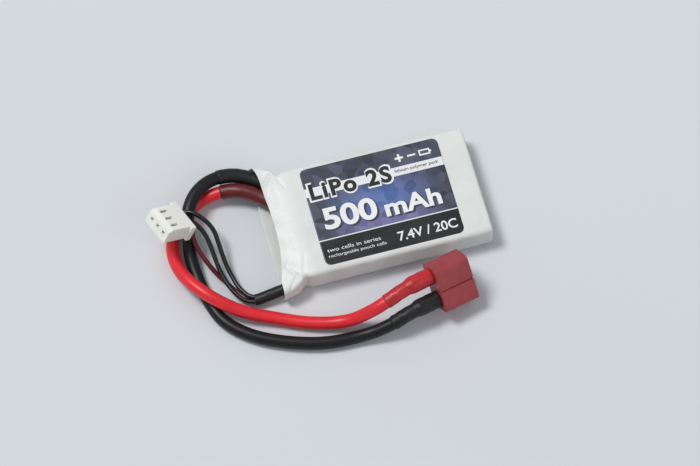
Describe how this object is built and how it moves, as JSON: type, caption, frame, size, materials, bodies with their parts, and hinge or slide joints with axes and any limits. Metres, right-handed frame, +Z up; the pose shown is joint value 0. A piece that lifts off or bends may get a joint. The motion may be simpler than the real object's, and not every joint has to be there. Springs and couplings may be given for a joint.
{
  "type": "lipo battery pack",
  "caption": "Flat soft-cased lithium polymer battery pack in white shrink wrap with a printed label, red and black power leads to a T plug, and thin balance wires to a small plug.",
  "frame": {"origin": "on the pack's flat underside, midway along its length and on the body's centre line", "axes": "+X from the open, lead end to the closed end; +Y across the body; +Z up, out of the labelled face"},
  "size_m": [0.086, 0.0551, 0.0152],
  "materials": {
    "wrap_white": "satin, slightly waxy heat-shrink film",
    "label_film": "printed film, semi gloss",
    "laminate": "satin laminate foil",
    "electrode": "matt coated foil stack",
    "tab_aluminium": "satin",
    "tab_nickel": "satin nickel plate",
    "tab_seal": "matt",
    "adhesive": "soft foam tape",
    "tape_amber": "glossy polyimide film",
    "insulator_paper": "matt",
    "board": "semi-matt solder mask",
    "solder": "satin",
    "nickel_strip": "satin nickel plate",
    "lead_red": "satin silicone",
    "lead_black": "satin silicone",
    "shrink_red": "satin heat-shrink",
    "shrink_black": "satin heat-shrink",
    "wire_black": "satin",
    "wire_red": "satin",
    "copper": "tinned copper strand",
    "plug_brown": "satin nylon",
    "contact_gold": "gold plated",
    "plug_white": "satin, slightly translucent nylon",
    "terminal_tin": "tin plate"
  },
  "bodies": {
    "pack": {"shrink_wrap": "wrap_white", "label": "label_film", "lower_cell_pouch": "laminate", "upper_cell_pouch": "laminate", "lower_cell_electrode_stack": "electrode", "upper_cell_electrode_stack": "electrode", "lower_cell_tab_seals": "tab_seal", "upper_cell_tab_seals": "tab_seal", "lower_cell_positive_tab": "tab_aluminium", "upper_cell_positive_tab": "tab_aluminium", "lower_cell_negative_tab": "tab_nickel", "upper_cell_negative_tab": "tab_nickel", "cell_adhesive_pad": "adhesive", "end_insulator": "insulator_paper", "insulating_tape": "tape_amber", "terminal_board": "board", "series_link": "nickel_strip", "board_solder_joints": "solder", "plug_solder_joints": "solder", "positive_lead_strands": "copper", "negative_lead_strands": "copper", "balance_wire_strands": "copper", "positive_lead": "lead_red", "negative_lead": "lead_black", "positive_exit_sleeve": "shrink_red", "negative_exit_sleeve": "shrink_black", "positive_plug_heatshrink": "shrink_red", "negative_plug_heatshrink": "shrink_black", "power_plug_housing": "plug_brown", "positive_contact": "contact_gold", "negative_contact": "contact_gold", "balance_wire_1": "wire_black", "balance_wire_2": "wire_black", "balance_wire_3": "wire_red", "balance_sleeve": "shrink_black", "balance_plug_housing": "plug_white", "balance_terminal_1": "terminal_tin", "balance_terminal_2": "terminal_tin", "balance_terminal_3": "terminal_tin"},
    "positive_spring": {"positive_contact_spring": "contact_gold"},
    "negative_spring": {"negative_contact_spring": "contact_gold"}
  },
  "joints": [
    {"name": "positive_contact_spring_flex", "type": "hinge", "parent": "pack", "child": "positive_spring", "pos_m": [0.01033, -0.02392, 0.01077], "axis": [0.2147, -0.701, 0.6801], "range_deg": [0, 3.5], "stiffness_Nm_per_rad": 0.06},
    {"name": "negative_contact_spring_flex", "type": "hinge", "parent": "pack", "child": "negative_spring", "pos_m": [0.01131, -0.02922, 0.00617], "axis": [0.1149, -0.6733, -0.7303], "range_deg": [0, 3.5], "stiffness_Nm_per_rad": 0.06}
  ]
}
